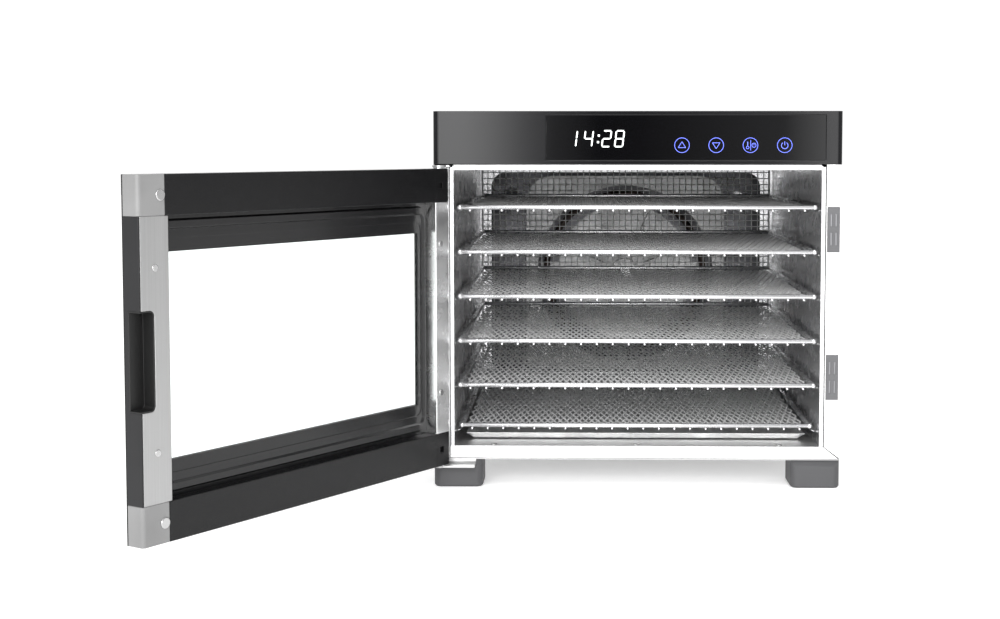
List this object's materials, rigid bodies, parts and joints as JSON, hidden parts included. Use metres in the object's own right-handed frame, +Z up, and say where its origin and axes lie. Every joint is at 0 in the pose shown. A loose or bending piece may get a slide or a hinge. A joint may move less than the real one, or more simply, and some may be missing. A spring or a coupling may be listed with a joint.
{
  "type": "food dehydrator",
  "caption": "Cabinet food dehydrator with sliding wire trays, a side-hinged glass door, a touch control fascia and a rear fan.",
  "frame": {"origin": "middle of the footprint of the whole object at rest, door open, on the surface that its feet stand on; the cabinet's own centre plane is at x = 0.0884 m and its front plane at y = -0.0709 m", "axes": "+Z up; +Y from the cabinet's front to its back; +X to the right as seen from the front, away from the hinge"},
  "size_m": [0.5168, 0.7342, 0.315],
  "materials": {
    "brushed_steel": "brushed",
    "polished_steel": "polished",
    "fasteners": "polished",
    "tray_wire": "satin",
    "black_fascia": "gloss",
    "black_frame": "satin",
    "grey_corners": "satin",
    "window_glass": "gloss",
    "door_glass": "clear",
    "circuit": "satin",
    "heater": "matte",
    "motor": "satin",
    "impeller": "satin",
    "foot_plastic": "matte",
    "catch_plastic": "matte"
  },
  "bodies": {
    "cabinet": {"side_panel_right": "brushed_steel", "side_panel_left": "brushed_steel", "top_panel": "brushed_steel", "base_pan": "brushed_steel", "rear_panel": "brushed_steel", "front_flanges": "polished_steel", "control_fascia": "black_fascia", "display_window": "window_glass", "display_board": "circuit", "touch_pads": "circuit", "power_board": "circuit", "board_standoffs": "circuit", "liner_side_right": "polished_steel", "liner_side_left": "polished_steel", "liner_ceiling": "polished_steel", "liner_floor": "polished_steel", "cavity_fasteners": "fasteners", "tray_runners": "polished_steel", "rear_wall": "polished_steel", "wire_guard": "tray_wire", "air_baffle": "polished_steel", "baffle_posts": "polished_steel", "plenum_walls": "polished_steel", "fan_bulkhead": "polished_steel", "motor_bracket": "polished_steel", "fan_motor": "motor", "heating_element": "heater", "thermostat": "motor", "temperature_sensor": "motor", "cord_gland": "foot_plastic", "feet": "foot_plastic", "hinge_bracket_lower": "polished_steel", "hinge_bracket_upper": "polished_steel", "hinge_pins": "polished_steel", "hinge_washers": "fasteners", "catch_plates": "catch_plastic", "catch_poles": "fasteners"},
    "door": {"door_panel": "black_frame", "door_rail_top": "black_frame", "door_rail_bottom": "black_frame", "door_hinge_stile": "brushed_steel", "door_handle_stile": "brushed_steel", "door_edge_strip": "black_fascia", "door_hinge_corners": "black_frame", "door_free_corners": "grey_corners", "door_finger_cup": "black_fascia", "door_bezel": "black_frame", "door_glass": "door_glass", "door_gasket": "black_fascia", "door_screws": "fasteners"},
    "fan": {"fan_shaft": "fasteners", "fan_impeller": "impeller", "fan_nut": "fasteners"},
    "tray_1": {"tray_1": "tray_wire"},
    "tray_2": {"tray_2": "tray_wire"},
    "tray_3": {"tray_3": "tray_wire"},
    "tray_4": {"tray_4": "tray_wire"},
    "tray_5": {"tray_5": "tray_wire"},
    "tray_6": {"tray_6": "tray_wire"},
    "drip_tray": {"drip_tray": "polished_steel"}
  },
  "joints": [
    {"name": "door_hinge", "type": "hinge", "parent": "cabinet", "child": "door", "pos_m": [-0.0756, -0.08043, 0.1445], "axis": [0, 0, 1], "range_deg": [0, 122]},
    {"name": "fan_spin", "type": "hinge", "parent": "cabinet", "child": "fan", "pos_m": [0.0884, 0.32507, 0.1515], "axis": [0, 1, 0], "continuous": true},
    {"name": "tray_1_slide", "type": "slide", "parent": "cabinet", "child": "tray_1", "axis": [0, 1, 0], "range_m": [-0.3, 0.005]},
    {"name": "tray_2_slide", "type": "slide", "parent": "cabinet", "child": "tray_2", "axis": [0, 1, 0], "range_m": [-0.3, 0.024]},
    {"name": "tray_3_slide", "type": "slide", "parent": "cabinet", "child": "tray_3", "axis": [0, 1, 0], "range_m": [-0.3, 0.024]},
    {"name": "tray_4_slide", "type": "slide", "parent": "cabinet", "child": "tray_4", "axis": [0, 1, 0], "range_m": [-0.3, 0.024]},
    {"name": "tray_5_slide", "type": "slide", "parent": "cabinet", "child": "tray_5", "axis": [0, 1, 0], "range_m": [-0.3, 0.024]},
    {"name": "tray_6_slide", "type": "slide", "parent": "cabinet", "child": "tray_6", "axis": [0, 1, 0], "range_m": [-0.3, 0.024]},
    {"name": "drip_tray_slide", "type": "slide", "parent": "cabinet", "child": "drip_tray", "axis": [0, 1, 0], "range_m": [-0.3, 0.013]}
  ]
}
